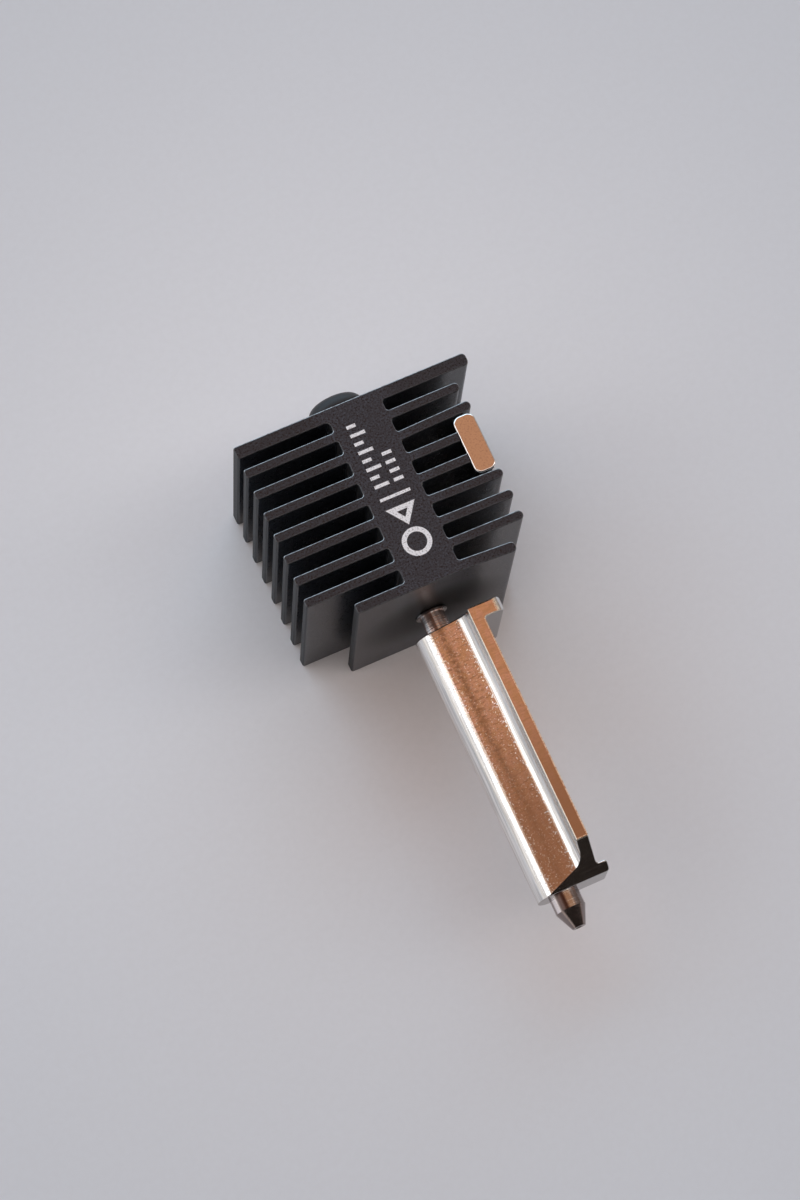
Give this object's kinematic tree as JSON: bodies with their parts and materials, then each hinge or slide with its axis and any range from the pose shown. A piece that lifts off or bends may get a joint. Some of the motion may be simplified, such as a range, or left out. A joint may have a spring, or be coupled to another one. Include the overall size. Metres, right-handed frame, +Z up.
{
  "type": "hotend assembly",
  "caption": "Quick-change printer hotend: finned cold end with a bar magnet, thin heat break, plated hot block with hook and foot, and a coned nozzle.",
  "frame": {"origin": "on the underside of the heatsink, below the filament axis, midway along the heatsink", "axes": "+Z up from the flat fin edges it lies on; +Y along the filament axis from the nozzle to the inlet; +X towards the magnet and the heater's contact face"},
  "size_m": [0.0208, 0.0493, 0.018],
  "materials": {
    "black_anodised": "fine blasted, black anodised",
    "grey_anodised": "turned, dark grey anodised",
    "compound": "set thermal compound",
    "steel": "turned and polished",
    "nickel_plate": "bright nickel plating over fine blasting",
    "magnet_plate": "smooth bright nickel plating",
    "adhesive": "set epoxy",
    "mark_white": "matt white filling"
  },
  "bodies": {
    "root": {"heatsink": "black_anodised", "inlet_collar": "grey_anodised", "thermal_compound": "compound", "heat_break_tube": "steel", "heat_break_ring": "steel", "heater_block": "nickel_plate", "nozzle": "steel", "magnet": "magnet_plate", "magnet_adhesive": "adhesive", "face_marks": "mark_white"}
  },
  "joints": []
}
